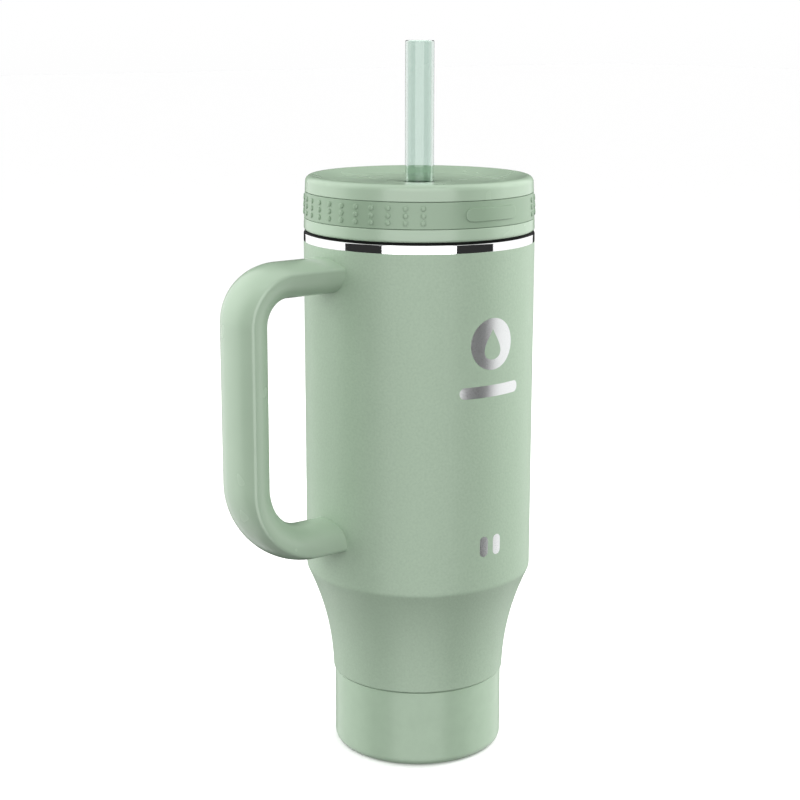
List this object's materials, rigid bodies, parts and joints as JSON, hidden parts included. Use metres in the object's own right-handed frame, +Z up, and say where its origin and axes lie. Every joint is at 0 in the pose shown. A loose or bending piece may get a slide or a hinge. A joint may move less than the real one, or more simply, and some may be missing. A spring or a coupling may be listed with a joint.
{
  "type": "insulated tumbler",
  "caption": "Insulated steel tumbler with a waisted body, moulded boot, side handle, twist-off lid with a bumped grip band, and a drinking straw.",
  "frame": {"origin": "centre of the flat resting face under the boot, on the cup's axis", "axes": "+Z up along the cup's axis, handle along -X, plain front marks face -Y"},
  "size_m": [0.1483, 0.1007, 0.3148],
  "materials": {
    "powder_coat": "fine powder coat",
    "polished_steel": "mirror polished outside, bare inside",
    "bare_steel": "plain sheet",
    "foil": "thin coppered foil",
    "getter_metal": "sintered",
    "moulded_green": "satin moulded",
    "grip_green": "matte moulded",
    "boot_green": "soft satin",
    "black_silicone": "soft",
    "pale_silicone": "soft",
    "clear_green": "clear tinted plastic"
  },
  "bodies": {
    "cup": {"inner_vessel": "polished_steel", "outer_shell": "powder_coat", "shell_base": "bare_steel", "vacuum_seal": "bare_steel", "getter": "getter_metal", "radiation_shield": "foil", "base_boot": "boot_green", "upper_bracket": "bare_steel", "lower_bracket": "bare_steel", "handle_outer": "moulded_green", "handle_inner": "grip_green", "handle_screws": "bare_steel"},
    "lid_carrier": {"lid_gasket": "black_silicone"},
    "lid": {"lid_body": "moulded_green", "lid_cap": "moulded_green", "grip_band": "grip_green", "lid_liner": "grip_green", "straw_collar": "moulded_green", "straw_seal": "pale_silicone"},
    "straw": {"straw": "clear_green"}
  },
  "joints": [
    {"name": "lid_rise", "type": "slide", "parent": "cup", "child": "lid_carrier", "axis": [0, 0, 1], "range_m": [0, 0.012]},
    {"name": "lid_turn", "type": "hinge", "parent": "lid_carrier", "child": "lid", "pos_m": [0, 0, 0.2345], "axis": [0, 0, 1], "range_deg": [0, 720]},
    {"name": "straw_slide", "type": "slide", "parent": "lid", "child": "straw", "axis": [0, 0, 1], "range_m": [0, 0.24]}
  ],
  "couplings": [
    {"joint": "lid_rise", "follows": "lid_turn", "m_per_rad": 0.00095493}
  ]
}
